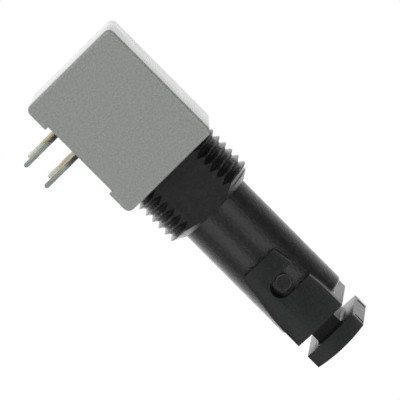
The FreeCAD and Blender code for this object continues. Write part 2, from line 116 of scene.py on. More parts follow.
def keep(piece, kind, **settings):
    """Run one modifier and keep what it makes."""
    modifier = piece.modifiers.new(kind.title(), kind)
    for name, value in settings.items():
        setattr(modifier, name, value)
    seen = piece.evaluated_get(bpy.context.evaluated_depsgraph_get())
    result = bpy.data.meshes.new_from_object(seen)
    piece.modifiers.clear()
    old = piece.data
    piece.data = result
    bpy.data.meshes.remove(old)
    return piece


def combine(piece, tool, how="UNION"):
    """Join, cut or intersect one solid with another, and drop the second."""
    bpy.context.view_layer.update()
    keep(piece, "BOOLEAN", object=tool, operation=how, solver="EXACT")
    bpy.data.objects.remove(tool)
    return piece


def finish_piece(piece, body, node, material, smooth_angle=38):
    """Shrink a finished piece to metres, dress and smooth it, and let it ride for its CAD node."""
    piece.data.transform(Matrix.Scale(MM, 4))
    piece.data.materials.clear()
    piece.data.materials.append(material)
    for face in piece.data.polygons:
        face.material_index = 0
    piece.data.shade_smooth()
    piece.data.set_sharp_from_angle(angle=radians(smooth_angle))
    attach(piece, body)
    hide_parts(node)
    print(f"{piece.name}: {len(piece.data.polygons)} faces")
    return piece


# %% [markdown]
# Nearly everything on this object is either turned about the port's axis or cut from a flat outline.
# So the next helpers make those two kinds of solid: rings of points with a skin over them, and an
# outline given a thickness. The skin is a function of its own, because the thread, the lugs and the
# pins are rings of points too.

# %% Turned solids
PAST = 1.0        # how far a cutting solid runs past the face it cuts


def skin(rings, steps, closed=False):
    """Faces over rings of points, from each ring to the next. An open skin gets a face at each end."""
    faces = []
    for i in range(rings if closed else rings - 1):
        here, there = i * steps, (i + 1) % rings * steps
        for k in range(steps):
            n = (k + 1) % steps
            faces.append((here + k, here + n, there + n, there + k))
    if not closed:
        faces.append(tuple(range(steps)))
        faces.append(tuple((rings - 1) * steps + k for k in range(steps)))
    return faces


def round_steps(steps):
    """The angles of a full turn, in equal steps."""
    return [2 * pi * k / steps for k in range(steps)]


def turned(name, profile, steps=96):
    """Sweep a profile of (x, radius) pairs about the port's axis."""
    points = []
    for x, radius in profile:
        for turn in round_steps(steps):
            points.append((x, radius * cos(turn), AXIS_HEIGHT + radius * sin(turn)))
    return new_piece(name, points, skin(len(profile), steps))


# %% [markdown]
# Flat outlines are given as pairs of numbers, and the axis says which way they get their thickness. A
# box is the simplest such solid, and an arc gives the round stretches of an outline.

# %% Extruded solids
def extruded(name, outline, start, end, axis):
    """Give an outline a thickness along an axis: 'x' takes (y, z) pairs, 'y' (x, z) and 'z' (x, y)."""
    def at(pair, depth):
        a, b = pair
        return {"x": (depth, a, b), "y": (a, depth, b), "z": (a, b, depth)}[axis]

    count = len(outline)
    points = [at(pair, start) for pair in outline] + [at(pair, end) for pair in outline]
    faces = [tuple(range(count)), tuple(range(count, 2 * count))]
    faces += [(k, (k + 1) % count, count + (k + 1) % count, count + k) for k in range(count)]
    return new_piece(name, points, faces)


def block(name, low, high):
    """A plain box between two corners."""
    corners = [(low[0], low[1]), (high[0], low[1]), (high[0], high[1]), (low[0], high[1])]
    return extruded(name, corners, low[2], high[2], "z")


def arc(centre, radius, start, end, steps):
    """Points on a circular arc, from one angle to another in degrees."""
    turns = [radians(start + (end - start) * k / steps) for k in range(steps + 1)]
    return [(centre[0] + radius * cos(t), centre[1] + radius * sin(t)) for t in turns]


# %% [markdown]
# ## Finishes
# A finish here is a small tree of nodes that ends in Blender's Principled shader. The helpers add a node
# with its settings, make noise of a true size on the object, and turn a noise into a colour, a range of
# numbers or a bump. An image could do the same, but noise needs no file and stays sharp close up.

# %% Shader helpers
def principled(name):
    """A new material, its node tree and its Principled shader."""
    material = bpy.data.materials.new(name)
    material.use_nodes = True
    tree = material.node_tree
    return material, tree, tree.nodes["Principled BSDF"]


def add_node(tree, kind, inputs=None, **settings):
    """Add a node. An input given as a socket is linked, and any other value is set."""
    node = tree.nodes.new(kind)
    for key, value in settings.items():
        setattr(node, key, value)
    for key, value in (inputs or {}).items():
        if isinstance(value, bpy.types.NodeSocket):
            tree.links.new(value, node.inputs[key])
        else:
            node.inputs[key].default_value = value
    return node


def noise(tree, feature_mm, detail=3.0, roughness=0.55, stretch=(1, 1, 1), shift=0.0):
    """Noise whose blotches are about feature_mm wide on the real object."""
    place = add_node(tree, "ShaderNodeTexCoord").outputs["Object"]
    scale = tuple(s / (feature_mm * MM) for s in stretch)
    placed = {"Vector": place, "Scale": scale, "Location": (shift,) * 3}
    mapping = add_node(tree, "ShaderNodeMapping", placed).outputs[0]
    settings = {"Vector": mapping, "Scale": 1.0, "Detail": detail, "Roughness": roughness}
    return add_node(tree, "ShaderNodeTexNoise", settings).outputs["Fac"]


def ramp(tree, value, *stops):
    """A colour ramp through (position, colour) stops."""
    node = add_node(tree, "ShaderNodeValToRGB", {"Fac": value})
    band = node.color_ramp.elements
    while len(band) < len(stops):
        band.new(0.5)
    for element, (position, colour) in zip(band, stops):
        element.position = position
        element.color = (*colour, 1.0)
    return node.outputs["Color"]


def spread(tree, value, low, high):
    """Stretch a 0.3 to 0.7 noise value to a range."""
    limits = {"Value": value, "From Min": 0.3, "From Max": 0.7, "To Min": low, "To Max": high}
    return add_node(tree, "ShaderNodeMapRange", limits).outputs["Result"]


def bumped(tree, height, depth_mm, base=None):
    """A bump of a true height in millimetres, on top of another bump if there is one."""
    settings = {"Height": height, "Strength": 1.0, "Distance": depth_mm * MM}
    if base is not None:
        settings["Normal"] = base
    return add_node(tree, "ShaderNodeBump", settings).outputs["Normal"]


# %% [markdown]
# Moulded plastic isn't one flat colour. Its skin copies the tool it was made in: a fine grain that breaks
# up reflections, and slow changes in gloss where the plastic flowed. So there are three noises. The grain
# goes to the bump, a slightly coarser speck goes to the bump and the colour, and the slow flow goes to
# the roughness. The cap is another moulding than the port, so its black is duller and its grain finer.

# %% Moulded plastic
SPECK_SHARE = 1.6        # a speck's size, as a share of the grain's


def moulded_plastic(name, dark, light, roughness, grain_mm, grain_depth_mm, flow_mm, gloss=0.5):
    """Plastic whose grain and specks lie over slow changes of gloss."""
    material, tree, shader = principled(name)
    flow = noise(tree, flow_mm, detail=4.0)
    grain = noise(tree, grain_mm, detail=2.0, shift=3.7)
    speck = noise(tree, grain_mm * SPECK_SHARE, detail=3.0, roughness=0.65, shift=9.1)
    tree.links.new(ramp(tree, speck, (0.35, dark), (0.65, light)), shader.inputs["Base Color"])
    tree.links.new(spread(tree, flow, *roughness), shader.inputs["Roughness"])
    coarse = bumped(tree, speck, grain_depth_mm * SPECK_SHARE)
    tree.links.new(bumped(tree, grain, grain_depth_mm, coarse), shader.inputs["Normal"])
    shader.inputs["Specular IOR Level"].default_value = gloss
    return material


grey_moulding = moulded_plastic(
    "grey_moulding", (0.205, 0.214, 0.205), (0.325, 0.336, 0.323), roughness=(0.24, 0.30),
    grain_mm=0.09, grain_depth_mm=0.0018, flow_mm=2.5,
)
black_moulding = moulded_plastic(
    "black_moulding", (0.0045, 0.005, 0.005), (0.0115, 0.012, 0.0118), roughness=(0.22, 0.30),
    grain_mm=0.2, grain_depth_mm=0.024, flow_mm=1.2,
)
black_cap_moulding = moulded_plastic(
    "black_cap_moulding", (0.0085, 0.0092, 0.0092), (0.0165, 0.0175, 0.0173), roughness=(0.28, 0.36),
    grain_mm=0.14, grain_depth_mm=0.012, flow_mm=1.6, gloss=0.25,
)
print("mouldings:", grey_moulding.name, black_moulding.name, black_cap_moulding.name)

# %% [markdown]
# The pins are tin over wire. The front row's tin is painted dull and dark, and near the box it carries a
# painted shade that thins out away from the box. The back row is painted pale, a painted highlight for the
# bright light behind the object, and gold in streaks along the pin. One finish does both rows: the painted
# shade is a noise that fades towards the tip, the streaks are a noise drawn out along the pin, and a pin's
# row picks between them.

# %% The pins' finish, with painted shade and painted highlight
BOX_SHADE_LOW = -3.0         # the heights where the painted shade of the box starts and where it's full, in mm
BOX_SHADE_HIGH = 0.2
ROW_BLEND = 1.0          # half the width of the change from the front row's painted shade to the back row's painted highlight


def tinned_wire_painted_light(name):
    """Tin painted dark, with painted shade near the box, on one row of pins, and painted pale and gold on the
    other.
    """
    material, tree, shader = principled(name)
    place = add_node(tree, "ShaderNodeTexCoord").outputs["Object"]
    parts = add_node(tree, "ShaderNodeSeparateXYZ", {0: place})
    streaks = noise(tree, 0.4, detail=4.0, stretch=(1, 1, 0.18))
    lumps = noise(tree, 0.22, detail=4.0, roughness=0.6, shift=5.3)
    # Painted shade: a noisy mask darkens the pins near the box, where the box shades them, and fades towards
    # the tip.
    height = {"Value": parts.outputs["Z"], "From Min": BOX_SHADE_LOW * MM, "From Max": BOX_SHADE_HIGH * MM}
    near_box = add_node(tree, "ShaderNodeMapRange", height).outputs["Result"]
    box_shade = add_node(tree, "ShaderNodeMath", {0: near_box, 1: lumps}, operation="MULTIPLY").outputs[0]
    box_shade_mask = ramp(tree, box_shade, (0.28, (0, 0, 0)), (0.44, (1, 1, 1)))
    tin = ramp(tree, streaks, (0.36, (0.15, 0.165, 0.155)), (0.62, (0.34, 0.37, 0.34)))
    # The front row's tin is painted darker, and the mask mixes it towards near-black as painted shade.
    shade_mix = {"Fac": box_shade_mask, "Color1": tin, "Color2": (0.050, 0.056, 0.053, 1)}
    shaded_front_row = add_node(tree, "ShaderNodeMixRGB", shade_mix).outputs[0]
    # Painted highlight: the back row is painted pale, for the bright light behind the object, with gold in
    # streaks along the pin.
    lines = noise(tree, 0.22, detail=3.0, stretch=(1, 1, 0.06), shift=7.9)
    lit_back_row = ramp(tree, lines, (0.57, (0.66, 0.67, 0.58)), (0.64, (0.60, 0.47, 0.19)))
    row = {"Value": parts.outputs["Y"], "From Min": -ROW_BLEND * MM, "From Max": ROW_BLEND * MM}
    which = add_node(tree, "ShaderNodeMapRange", row).outputs["Result"]
    # Each row picks its look: painted shade on the front row, painted highlight on the back row.
    colour = add_node(tree, "ShaderNodeMixRGB", {"Fac": which, "Color1": shaded_front_row, "Color2": lit_back_row}).outputs[0]
    tree.links.new(colour, shader.inputs["Base Color"])
    tree.links.new(spread(tree, streaks, 0.42, 0.58), shader.inputs["Roughness"])
    tree.links.new(bumped(tree, lumps, 0.012), shader.inputs["Normal"])
    shader.inputs["Metallic"].default_value = 0.75
    return material


tinned_pin = tinned_wire_painted_light("tinned_pin")
print("pins:", tinned_pin.name)

# %% [markdown]
# The metal pieces inside are clean: plated steel, gold plate and solder. Each changes a little in colour
# and gloss from patch to patch, because no plating or solder is even.

# %% Clean metals
def metal(name, low, high, roughness, feature_mm):
    """A metal that changes between two colours in patches."""
    material, tree, shader = principled(name)
    patches = noise(tree, feature_mm, detail=4.0)
    tree.links.new(ramp(tree, patches, (0.4, low), (0.6, high)), shader.inputs["Base Color"])
    tree.links.new(spread(tree, patches, *roughness), shader.inputs["Roughness"])
    tree.links.new(bumped(tree, patches, 0.002), shader.inputs["Normal"])
    shader.inputs["Metallic"].default_value = 1.0
    return material


plated_steel = metal("plated_steel", (0.60, 0.59, 0.57), (0.70, 0.69, 0.67), (0.18, 0.34), 0.4)
gold_plate = metal("gold_plate", (0.83, 0.60, 0.24), (0.92, 0.72, 0.36), (0.16, 0.30), 0.3)
solder = metal("solder", (0.62, 0.62, 0.61), (0.78, 0.78, 0.77), (0.14, 0.4), 0.15)
print("metals:", plated_steel.name, gold_plate.name, solder.name)

# %% [markdown]
# The pieces inside can't be seen from outside, and the potting only from below, but they're part of the
# object. So each has its own finish: ground ceramic, clear glass, green laminate with its weave, a dark
# crystal and black potting.

# %% Ceramic, glass, crystal, laminate and potting
def mineral(name, low, high, roughness, feature_mm, depth_mm=0.001):
    """Ceramic, crystal or potting: a hard body with a faint mottle."""
    material, tree, shader = principled(name)
    mottle = noise(tree, feature_mm, detail=5.0)
    tree.links.new(ramp(tree, mottle, (0.35, low), (0.65, high)), shader.inputs["Base Color"])
    tree.links.new(spread(tree, mottle, *roughness), shader.inputs["Roughness"])
    tree.links.new(bumped(tree, mottle, depth_mm), shader.inputs["Normal"])
    return material


def glass(name, tint, index, roughness):
    material, tree, shader = principled(name)
    smear = noise(tree, 0.6, detail=3.0)
    pale = tuple(min(1.0, c * 1.06) for c in tint)
    tree.links.new(ramp(tree, smear, (0.3, tint), (0.7, pale)), shader.inputs["Base Color"])
    tree.links.new(spread(tree, smear, roughness, roughness * 2), shader.inputs["Roughness"])
    shader.inputs["Transmission Weight"].default_value = 1.0
    shader.inputs["IOR"].default_value = index
    return material


def laminate(name):
    """Green board: a solder mask over a woven glass cloth whose threads show as a fine grid."""
    material, tree, shader = principled(name)
    place = add_node(tree, "ShaderNodeTexCoord").outputs["Object"]
    waves = []
    for direction in ("X", "Y"):
        settings = {"Vector": place, "Scale": 0.35 / MM, "Distortion": 0.4, "Detail": 1.0}
        wave = add_node(tree, "ShaderNodeTexWave", settings, bands_direction=direction)
        waves.append(wave.outputs["Fac"])
    weave = add_node(tree, "ShaderNodeMath", {0: waves[0], 1: waves[1]}, operation="MULTIPLY").outputs[0]
    colour = ramp(tree, weave, (0.0, (0.012, 0.06, 0.022)), (1.0, (0.02, 0.11, 0.04)))
    tree.links.new(colour, shader.inputs["Base Color"])
    tree.links.new(spread(tree, weave, 0.3, 0.42), shader.inputs["Roughness"])
    tree.links.new(bumped(tree, weave, 0.004), shader.inputs["Normal"])
    return material


sleeve_ceramic = mineral("sleeve_ceramic", (0.74, 0.72, 0.66), (0.82, 0.81, 0.76), (0.15, 0.25), 0.2)
chip_crystal = mineral("chip_crystal", (0.05, 0.035, 0.05), (0.12, 0.09, 0.07), (0.1, 0.3), 0.05)
black_epoxy = mineral("black_epoxy", (0.012, 0.012, 0.013), (0.02, 0.02, 0.021), (0.18, 0.38), 0.9, 0.01)
lens_glass = glass("lens_glass", (0.93, 0.96, 0.97), 1.52, 0.02)
seal_glass = glass("seal_glass", (0.35, 0.45, 0.55), 1.5, 0.08)
board_laminate = laminate("board_laminate")
print("finishes:", ", ".join(sorted(m.name for m in bpy.data.materials)))

# %% [markdown]
# ## The grey box
# The real box is one thin-walled moulding, open underneath, with a foot at each corner and a slot in
# its front wall that drops over the port's throat. Seen from the side its corners have large rounds,
# and a smaller round runs along the edge of each side. So the blank is a rounded outline with a
# thickness, and only its rims are bevelled. The feet are what's left when two shallow channels cross the
# underside. A last fine bevel takes the knife edge off every cut, because a moulding tool can't make one.

# %% The housing shell
CORNER_ROUND = 0.6
EDGE_ROUND = 0.33
FOOT_HEIGHT = 0.38
FOOT_LENGTH = 2.45
FOOT_WIDTH = 1.6
SIDE_WALL = 1.0
FRONT_WALL = 1.2
ARCH_RADIUS = 3.82
CUT_BEVEL = 0.06


def box_blank():
    """The box before anything is cut: large rounds at the side outline's corners, small ones round it."""
    low, high, r = shell_low, shell_high, CORNER_ROUND
    left, right, bottom, top = low.x + r, high.x - r, low.z + r, high.z - r
    outline = []
    for quarter, centre in enumerate([(right, top), (left, top), (left, bottom), (right, bottom)]):
        outline += arc(centre, r, 90 * quarter, 90 * quarter + 90, 7)
    piece = extruded("grey_box", outline, low.y, high.y, "y")
    solid = bmesh.new()
    solid.from_mesh(piece.data)
    rims = [e for e in solid.edges if abs(e.verts[0].co.y - e.verts[1].co.y) < SAME_POINT]
    bmesh.ops.bevel(solid, geom=rims, offset=EDGE_ROUND, segments=5, profile=0.5, affect="EDGES")
    solid.to_mesh(piece.data)
    solid.free()
    return piece


def housing():
    low, high = shell_low, shell_high
    shell = box_blank()
    for along, across in ((FOOT_LENGTH, -PAST), (-PAST, FOOT_WIDTH)):
        start = (low.x + along, low.y + across, low.z - PAST)
        end = (high.x - along, high.y - across, low.z + FOOT_HEIGHT)
        combine(shell, block("channel", start, end), "DIFFERENCE")
    hollow_low = (low.x + SIDE_WALL, low.y + SIDE_WALL, low.z - PAST)
    hollow_high = (high.x - FRONT_WALL, high.y - SIDE_WALL, high.z - SIDE_WALL)
    combine(shell, block("hollow", hollow_low, hollow_high), "DIFFERENCE")
    arch = [(-ARCH_RADIUS, low.z - PAST), (ARCH_RADIUS, low.z - PAST)]
    arch += arc((0, AXIS_HEIGHT), ARCH_RADIUS, 0, 180, 40)
    inside = high.x - FRONT_WALL
    combine(shell, extruded("arch", arch, inside - PAST / 2, high.x + PAST / 2, "x"), "DIFFERENCE")
    keep(shell, "BEVEL", limit_method="ANGLE", angle_limit=radians(50), width=CUT_BEVEL, segments=2)
    return finish_piece(shell, "module", "housing_shell", grey_moulding)


housing()

# %% [markdown]
# ## The port
# A thread is one long ridge. Drawn as a height over (angle, distance along the axis), it's a wave that
# moves along by one pitch for each turn, so one formula gives every point of the collar. The two flats
# are then cut through the ridges by intersecting with a slab, which leaves the scalloped edge that
# such a collar has. Its far end is coned, so that a nut finds the thread.

# %% The threaded collar
CREST_RADIUS = 9.525 / 2
THREAD_PITCH = 0.79375
THREAD_DEPTH = 0.43
FLATS_ACROSS = 7.5
CREST_SHARE = 0.1
THREAD_SHIFT = 0.24
CHAMFER_LENGTH = 0.46
CHAMFER_START = 0.36
CHAMFER_DROP = 0.98
COLLAR_BORE = 3.2
PAST_COLLAR = 6.0        # more than the collar's radius


def thread_drop(x, turn):
    """How far the thread's surface is below its crest: flat crests and rounded roots."""
    phase = (x - FRONT) / THREAD_PITCH - turn / (2 * pi) - THREAD_SHIFT
    along = abs(2 * (phase - floor(phase)) - 1)
    slope = max(0.0, (1 - along - CREST_SHARE) / (1 - CREST_SHARE))
    return THREAD_DEPTH * (sin(slope * pi / 2) * 0.35 + slope * 0.65)


def collar():
    steps, stations = 180, 110
    rings = []
    for i in range(stations + 1):
        x = FRONT + (COLLAR_END - FRONT) * i / stations
        near_end = 1 - (COLLAR_END - x) / CHAMFER_LENGTH
        chamfer = CHAMFER_START + near_end * (CHAMFER_DROP - CHAMFER_START) if near_end > 0 else 0.0
        rings.append([(x, CREST_RADIUS - max(thread_drop(x, turn), chamfer)) for turn in round_steps(steps)])
    rings += [[(x, COLLAR_BORE)] * steps for x in (COLLAR_END, FRONT)]
    points = []
    for ring in rings:
        for turn, (x, radius) in zip(round_steps(steps), ring):
            points.append((x, radius * cos(turn), AXIS_HEIGHT + radius * sin(turn)))
    piece = new_piece("collar", points, skin(len(rings), steps, closed=True))
    half = FLATS_ACROSS / 2
    slab_low = (FRONT - PAST, -half, AXIS_HEIGHT - PAST_COLLAR)
    slab_high = (COLLAR_END + PAST, half, AXIS_HEIGHT + PAST_COLLAR)
    return combine(piece, block("slab", slab_low, slab_high), "INTERSECT")


print(f"thread: {(COLLAR_END - FRONT) / THREAD_PITCH:.1f} turns at {THREAD_PITCH} mm")

# %% [markdown]
# The bayonet lugs are two short studs with softened rims. They could be two solids set on the barrel.
# One rod right through the barrel is simpler, and when it's joined before the bore is cleared, the bore
# trims both studs flush inside.

# %% The lugs
BARREL_RADIUS = 3.5
LUG_RADIUS = 0.75
LUG_RIM = 0.12
LUG_SETBACK = 3.83
LUG_HEIGHT = 0.7
LUG_PLACE = BARREL_END - LUG_SETBACK
LUG_REACH = BARREL_RADIUS + LUG_HEIGHT


def lug_rod():
    """A rod across the barrel. Each end's rim is softened by two small steps."""
    profile = [(-LUG_REACH, LUG_RADIUS - LUG_RIM)]
    profile += [(-LUG_REACH + LUG_RIM * 0.35, LUG_RADIUS - LUG_RIM * 0.3)]
    profile += [(-LUG_REACH + LUG_RIM, LUG_RADIUS)]
    profile += [(-y, radius) for y, radius in reversed(profile)]
    steps = 48
    points = []
    for y, radius in profile:
        for turn in round_steps(steps):
            points.append((LUG_PLACE + radius * cos(turn), y, AXIS_HEIGHT + radius * sin(turn)))
    return new_piece("lug_rod", points, skin(len(profile), steps))


print(f"lugs: {2 * LUG_RADIUS} mm wide, {BARREL_END - LUG_PLACE:.2f} mm behind the barrel's end")

# %% [markdown]
# Behind the collar come a round throat that fills the arch in the box's wall, a sill that fills the slot
# under it, and a flange inside the box that holds the port. The flange is a plate whose edges are all
# rounded alike, so it's a box with every edge bevelled.

# %% The throat and the flange
THROAT_RADIUS = 3.8
FLANGE_HALF_HEIGHT = 3.7
FLANGE_ROUND = 0.15
FLANGE_BACK = port_low.x
WALL_INSIDE = FRONT - FRONT_WALL
CLEARANCE = 0.02
SILL_OVERLAP = 0.05      # how far the sill reaches into the flange, so that they join


def flange():
    low = (FLANGE_BACK, port_low.y, AXIS_HEIGHT - FLANGE_HALF_HEIGHT)
    high = (WALL_INSIDE - CLEARANCE, port_high.y, AXIS_HEIGHT + FLANGE_HALF_HEIGHT)
    piece = block("flange", low, high)
    solid = bmesh.new()
    solid.from_mesh(piece.data)
    bmesh.ops.bevel(solid, geom=solid.edges[:], offset=FLANGE_ROUND, segments=2, profile=0.5, affect="EDGES")
    solid.to_mesh(piece.data)
    solid.free()
    return piece


def throat():
    """The round throat and the sill below it, as two solids."""
    piece = turned("throat", [(FLANGE_BACK, THROAT_RADIUS), (FRONT, THROAT_RADIUS)])
    sill_low = (WALL_INSIDE - SILL_OVERLAP, -THROAT_RADIUS, FOOT_HEIGHT + CLEARANCE)
    return piece, block("sill", sill_low, (FRONT, THROAT_RADIUS, AXIS_HEIGHT))


print(f"flange from x = {FLANGE_BACK:.2f} to {WALL_INSIDE:.2f} mm, throat to {FRONT:.2f} mm")

# %% [markdown]
# The bore steps down from the metal can's room to a narrow passage for the light, and opens again for
# the sleeve and the plug's mouth. A key slot over the mouth lets a keyed plug in one way up.

# %% The port
BARREL_ROUND = 0.3
CAN_ROOM_RADIUS = 2.7
LIGHT_RADIUS = 1.72
SLEEVE_RADIUS = 2.0
MOUTH_RADIUS = 2.4
MOUTH_CHAMFER = 0.12
KEY_HALF_WIDTH = 0.6
KEY_DEPTH = 0.45


def bore():
    lens_low, _ = box_mm("coupling_lens")
    steps = [
        (FLANGE_BACK - PAST, CAN_ROOM_RADIUS), (lens_low.x, CAN_ROOM_RADIUS),
        (lens_low.x, LIGHT_RADIUS), (sleeve_low.x, LIGHT_RADIUS),
        (sleeve_low.x, SLEEVE_RADIUS), (MOUTH_START, SLEEVE_RADIUS),
        (MOUTH_START, MOUTH_RADIUS), (BARREL_END - MOUTH_CHAMFER, MOUTH_RADIUS),
        (BARREL_END + PAST, MOUTH_RADIUS + MOUTH_CHAMFER + PAST),
    ]
    return turned("bore", steps, steps=72)


def key_slot():
    top = AXIS_HEIGHT + MOUTH_RADIUS + KEY_DEPTH
    return block("key", (MOUTH_START, -KEY_HALF_WIDTH, AXIS_HEIGHT), (BARREL_END + PAST, KEY_HALF_WIDTH, top))


def port():
    outside = [(FLANGE_BACK, BARREL_RADIUS), (COLLAR_END, BARREL_RADIUS)]
    outside += arc((BARREL_END - BARREL_ROUND, BARREL_RADIUS - BARREL_ROUND), BARREL_ROUND, 90, 0, 6)
    piece = turned("port", outside, steps=128)
    for part in (lug_rod(), collar(), *throat(), flange()):
        combine(piece, part)
    combine(piece, bore(), "DIFFERENCE")
    combine(piece, key_slot(), "DIFFERENCE")
    return finish_piece(piece, "module", "port_barrel", black_moulding, smooth_angle=22)


port()

# %% [markdown]
# ## The dust cap
# The cap is one moulding cut from a bar: seen from its end the bar has flat top and bottom and bulging
# sides, and seen from the side it has arms that widen towards the head, a head, a neck and a grip.
# Crossing those two outlines gives the whole shape. The room for the barrel and the two notches come
# out of it, then the neck and the pilot go in. The real cap rests a few degrees turned, with its hooks
# against the lugs, so everything is turned about the port's axis at the end.

# %% The cap's outer outlines
SEAT_GAP = 0.05
HEAD_WALL = 1.18
NECK_LENGTH = 1.2
CAP_SEAT = BARREL_END + SEAT_GAP
TIP = cap_low.x
HALF_WIDTH = 4.2
HALF_HEIGHT = 2.75
CROWN_RADIUS = 8.6
ARM_SWELL = [(0.0, 1.85), (3.7, 2.46), (4.6, 2.59), (5.6, 2.66)]        # (distance from the tip, half height)
HEAD_END = CAP_SEAT + HEAD_WALL
HEAD_END_HALF = 2.67
GRIP_START = HEAD_END + NECK_LENGTH
GRIP_END = cap_high.x
GRIP_CROWN = 21.0
TOUCH = 0.001            # how far the grip's outline passes the bar, so that the bar alone ends it


def bar_section():
    """The bar seen from its end: flat top and bottom, bulging sides."""
    rise = degrees(asin(HALF_HEIGHT / CROWN_RADIUS))
    right = arc((HALF_WIDTH - CROWN_RADIUS, 0), CROWN_RADIUS, -rise, rise, 14)
    left = arc((CROWN_RADIUS - HALF_WIDTH, 0), CROWN_RADIUS, 180 - rise, 180 + rise, 14)
    return [(y, AXIS_HEIGHT + z) for y, z in right + left]


def mirrored_down(top):
    """Close an outline: its top half from left to right, then the same points below the axis."""
    return [(x, AXIS_HEIGHT + z) for x, z in top + [(x, -z) for x, z in reversed(top)]]


def arm_outline():
    """The arms and head seen from the side, without the grip."""
    return mirrored_down([(TIP + along, half) for along, half in ARM_SWELL] + [(HEAD_END, HEAD_END_HALF)])


def grip_outline():
    """The grip seen from the side, with its bowed end."""
    sweep = degrees(asin(HALF_HEIGHT / GRIP_CROWN))
    bow = arc((GRIP_END - GRIP_CROWN, AXIS_HEIGHT), GRIP_CROWN, -sweep, sweep, 20)
    low, high = AXIS_HEIGHT - HALF_HEIGHT - TOUCH, AXIS_HEIGHT + HALF_HEIGHT + TOUCH
    return [(GRIP_START, low), (bow[0][0], low)] + bow + [(bow[-1][0], high), (GRIP_START, high)]


print(f"cap: arms and head {HEAD_END - TIP:.2f} mm long, grip {GRIP_END - GRIP_START:.2f} mm thick")

# %% [markdown]
# A hook notch is a slot that a lug drops into: it has a round bottom, and its mouth opens upwards on the
# near side of the cap and downwards on the far side, so that one twist frees both. The neck flares in a
# small fillet at each end, and the grip's flat top and bottom each have two shallow slits.

# %% The notches, neck and slits
CAP_REACH = 6.0          # further than any part of the cap reaches from its middle
NOTCH_LEFT = LUG_PLACE - LUG_RADIUS - CLEARANCE
NOTCH_PLAY = 0.42
NOTCH_WIDTH = 2 * LUG_RADIUS + NOTCH_PLAY
NOTCH_BOTTOM = 0.99
NOTCH_INSIDE = 0.5       # a notch starts this far from the middle, inside the room for the barrel
NECK_HALF_HEIGHT = 1.33
NECK_HALF_WIDTH = 2.6
NECK_FILLET = 0.3
NECK_OVERLAP = 0.2
SLIT_START = 0.3
SLIT_PLACE = 2.85
SLIT_HALF = 0.24
SLIT_DEPTH = 0.3


def notch_outline(side):
    """A slot with a round bottom, open upwards for side 1 and downwards for side -1."""
    radius = NOTCH_WIDTH / 2
    middle = NOTCH_LEFT + radius
    points = arc((middle, radius - NOTCH_BOTTOM), radius, 180, 360, 24)
    points += [(middle + radius, CAP_REACH), (middle - radius, CAP_REACH)]
    return [(x, AXIS_HEIGHT + side * z) for x, z in points]


def neck_outline():
    """The neck seen from the side, with a fillet at the head and another at the grip."""
    fillet, edge = NECK_FILLET, NECK_HALF_HEIGHT + NECK_FILLET
    top = [(HEAD_END - NECK_OVERLAP, edge)] + arc((HEAD_END + fillet, edge), fillet, 180, 270, 6)
    top += arc((GRIP_START - fillet, edge), fillet, 270, 360, 6) + [(GRIP_START + NECK_OVERLAP, edge)]
    return mirrored_down(top)


def slits():
    """Four shallow cutters, two on the grip's top and two on its bottom."""
    cutters = []
    for side in (-1, 1):
        for face in (-1, 1):
            middle = (side * SLIT_PLACE, AXIS_HEIGHT + face * HALF_HEIGHT)
            start = (GRIP_START + SLIT_START, middle[0] - SLIT_HALF, middle[1] - SLIT_DEPTH)
            end = (GRIP_END + PAST, middle[0] + SLIT_HALF, middle[1] + SLIT_DEPTH)
            cutters.append(block("slit", start, end))
    return cutters


print(f"notches {NOTCH_WIDTH:.2f} mm wide for lugs of {2 * LUG_RADIUS} mm")

# %% [markdown]
# A moulded edge is never sharp, so one bevel softens every edge of the cut bar. It could be a rounding of
# each solid before they meet, but one bevel on the finished cut needs less care. It comes before the neck,
# which has its own fillets, and before the slits, which are too fine for it.

# %% Cutting and joining the cap
CAP_TURN = 6.5
ROOM_RADIUS = 3.56
EDGE_BEVEL = 0.09
PILOT_RADIUS = 2.34
# the pilot's profile: (distance from the seat, radius)
PILOT = [(-2.0, PILOT_RADIUS - 0.24), (-1.8, PILOT_RADIUS), (0.5, PILOT_RADIUS)]


def cap_body():
    """The bar crossed with its side outlines, less the room for the barrel and the two notches."""
    body = extruded("cap_bar", bar_section(), TIP - PAST, GRIP_END + PAST, "x")
    side = extruded("arms", arm_outline(), -CAP_REACH, CAP_REACH, "y")
    combine(side, extruded("grip", grip_outline(), -CAP_REACH, CAP_REACH, "y"))
    combine(body, side, "INTERSECT")
    room = turned("room", [(TIP - PAST, ROOM_RADIUS), (CAP_SEAT, ROOM_RADIUS)], steps=128)
    near = extruded("near_notch", notch_outline(1), -CAP_REACH, -NOTCH_INSIDE, "y")
    far = extruded("far_notch", notch_outline(-1), NOTCH_INSIDE, CAP_REACH, "y")
    for cutter in (room, near, far):
        combine(body, cutter, "DIFFERENCE")
    return keep(body, "BEVEL", limit_method="ANGLE", angle_limit=radians(35), width=EDGE_BEVEL, segments=3)


def dust_cap():
    cap = cap_body()
    for cutter in slits():
        combine(cap, cutter, "DIFFERENCE")
    combine(cap, extruded("neck", neck_outline(), -NECK_HALF_WIDTH, NECK_HALF_WIDTH, "y"))
    combine(cap, turned("pilot", [(CAP_SEAT + x, radius) for x, radius in PILOT], steps=72))
    centre = Matrix.Translation((0, 0, AXIS_HEIGHT))
    cap.data.transform(centre @ Matrix.Rotation(radians(CAP_TURN), 4, "X") @ centre.inverted())
    return finish_piece(cap, "cap", "dust_cap", black_cap_moulding)


dust_cap()

# %% [markdown]
# ## The pins
# A dipped pin isn't a perfect rod. Tin gathers in shallow waves and rounds the cut end, so the radius
# follows a few gentle waves that differ from pin to pin.

# %% Four pins
PIN_RADIUS = 0.23
ROOT_RADIUS = 0.4
ROOT_START = 0.66        # the height where the pin meets its wider root, inside the potting
TIP_ROUND = 0.22
TIP_FLAT = 0.25          # the smallest radius at the tip, as a share of the pin's


